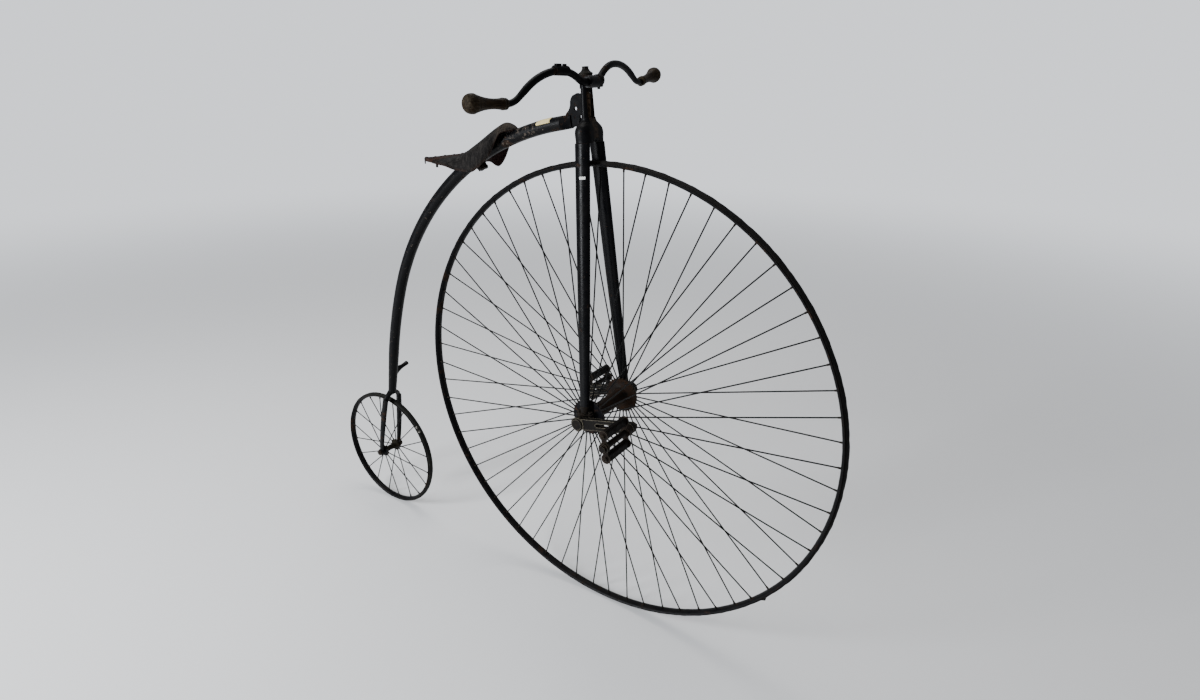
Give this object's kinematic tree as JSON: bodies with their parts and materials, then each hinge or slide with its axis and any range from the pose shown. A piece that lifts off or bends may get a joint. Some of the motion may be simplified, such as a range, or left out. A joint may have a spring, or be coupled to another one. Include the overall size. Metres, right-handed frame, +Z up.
{
  "type": "penny farthing bicycle",
  "caption": "High-wheel bicycle: cranked front wheel in a steering fork with an open head, curved tubular backbone, sprung leather saddle and small trailing rear wheel",
  "frame": {"origin": "the seating point on top of the saddle, on the middle plane", "axes": "+X forward, +Y to the rider's left, +Z up; the machine stands upright with its steering straight"},
  "size_m": [1.81, 0.7584, 1.5223],
  "materials": {
    "enamel": "worn black stoving enamel, chipped to brown rust",
    "rusty_steel": "bare iron and steel with a dark brown rust film",
    "spoke_steel": "blackened steel wire with light rust",
    "rubber": "old hardened solid rubber, dusty and scuffed",
    "pedal_rubber": "aged rubber block, browned and worn",
    "leather": "dark dry saddle leather, scuffed grey-brown, reddish at the edges",
    "wood": "turned hardwood, dark old varnish worn through",
    "brass": "dull dark brass"
  },
  "bodies": {
    "frame": {"backbone": "enamel", "neck": "enamel", "rear_fork": "enamel", "rear_axle": "rusty_steel", "mounting_step": "enamel", "saddle_leather": "leather", "saddle_spring": "rusty_steel", "saddle_cantle": "rusty_steel", "saddle_clip": "rusty_steel"},
    "steering": {"fork_head": "enamel", "head_adjuster": "rusty_steel", "fork_leg_right": "enamel", "fork_leg_left": "enamel", "bearing_case_right": "rusty_steel", "bearing_case_left": "rusty_steel", "handlebar": "enamel", "bar_clip": "rusty_steel", "brake_lug": "rusty_steel", "grip_ferrule_right": "brass", "grip_ferrule_left": "brass", "grip_right": "wood", "grip_left": "wood"},
    "front_wheel": {"front_axle": "rusty_steel", "front_hub": "rusty_steel", "front_spokes": "spoke_steel", "front_rim": "enamel", "front_tyre": "rubber", "crank_right": "rusty_steel", "crank_left": "rusty_steel", "pedal_pin_right": "rusty_steel", "pedal_pin_left": "rusty_steel"},
    "pedal_right": {"pedal_cage_right": "rusty_steel", "pedal_blocks_right": "pedal_rubber"},
    "pedal_left": {"pedal_cage_left": "rusty_steel", "pedal_blocks_left": "pedal_rubber"},
    "rear_wheel": {"rear_hub": "rusty_steel", "rear_spokes": "spoke_steel", "rear_rim": "enamel", "rear_tyre": "rubber"}
  },
  "joints": [
    {"name": "steering_turn", "type": "hinge", "parent": "frame", "child": "steering", "pos_m": [0.38527, 0, 0.11833], "axis": [-0.075, 0, 0.9972], "range_deg": [-40, 40]},
    {"name": "front_wheel_spin", "type": "hinge", "parent": "steering", "child": "front_wheel", "pos_m": [0.443, 0, -0.6495], "axis": [0, 1, 0], "continuous": true},
    {"name": "pedal_right_spin", "type": "hinge", "parent": "front_wheel", "child": "pedal_right", "pos_m": [0.5995, -0.2, -0.61623], "axis": [0, 1, 0], "continuous": true},
    {"name": "pedal_left_spin", "type": "hinge", "parent": "front_wheel", "child": "pedal_left", "pos_m": [0.2892, 0.2, -0.6936], "axis": [0, 1, 0], "continuous": true},
    {"name": "rear_wheel_spin", "type": "hinge", "parent": "frame", "child": "rear_wheel", "pos_m": [-0.5026, 0, -1.0836], "axis": [0, 1, 0], "continuous": true}
  ]
}
